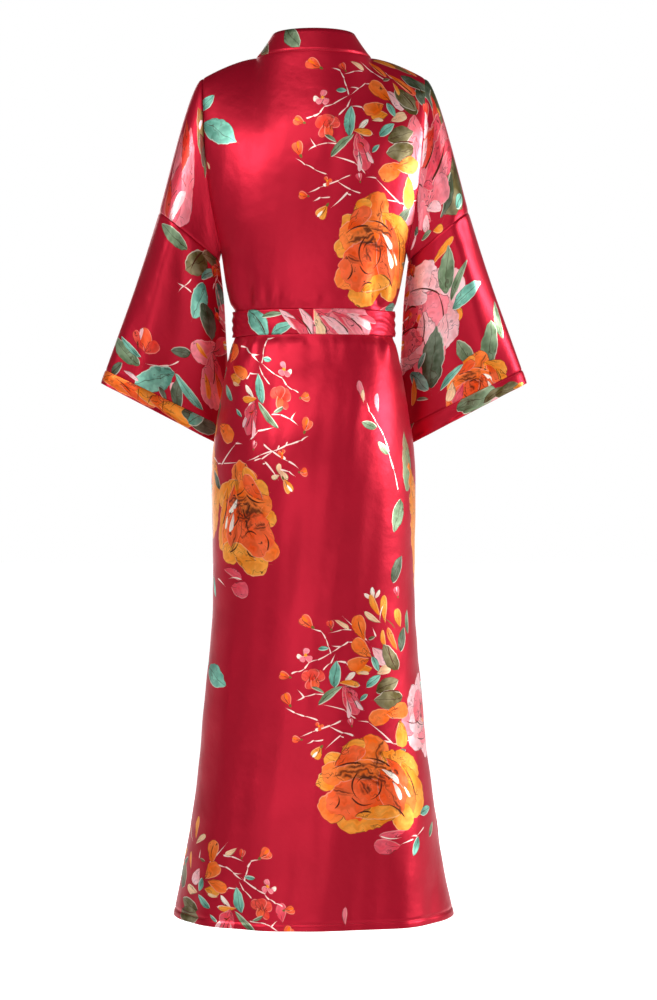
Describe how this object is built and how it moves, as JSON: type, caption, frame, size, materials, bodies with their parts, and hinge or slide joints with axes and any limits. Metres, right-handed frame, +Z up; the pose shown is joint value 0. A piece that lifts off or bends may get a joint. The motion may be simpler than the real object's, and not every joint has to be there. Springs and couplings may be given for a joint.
{
  "type": "satin kimono robe",
  "caption": "A long wrapped robe with wide sleeves, a standing neckband and a tied belt, filled out as if worn, hollow and open at the neck, hem and cuffs",
  "frame": {"origin": "on the centre line between the two shoulder ridges, level with the neck points, where the wearer's shoulders carry the robe", "axes": "+Z up along the robe, +Y towards the back, -Y towards the front, +X towards the wearer's left"},
  "size_m": [0.641, 0.2836, 1.3188],
  "materials": {
    "satin": "printed crimson satin",
    "satin_band": "printed crimson satin, doubled"
  },
  "bodies": {
    "root": {"back": "satin", "front_left": "satin", "front_right": "satin", "sleeve_upper_left": "satin", "sleeve_upper_right": "satin", "sleeve_lower_left": "satin", "sleeve_lower_right": "satin", "cuff_left": "satin_band", "cuff_right": "satin_band", "neckband": "satin_band", "belt": "satin_band", "belt_knot": "satin_band", "belt_tail_left": "satin_band", "belt_tail_right": "satin_band"}
  },
  "joints": []
}
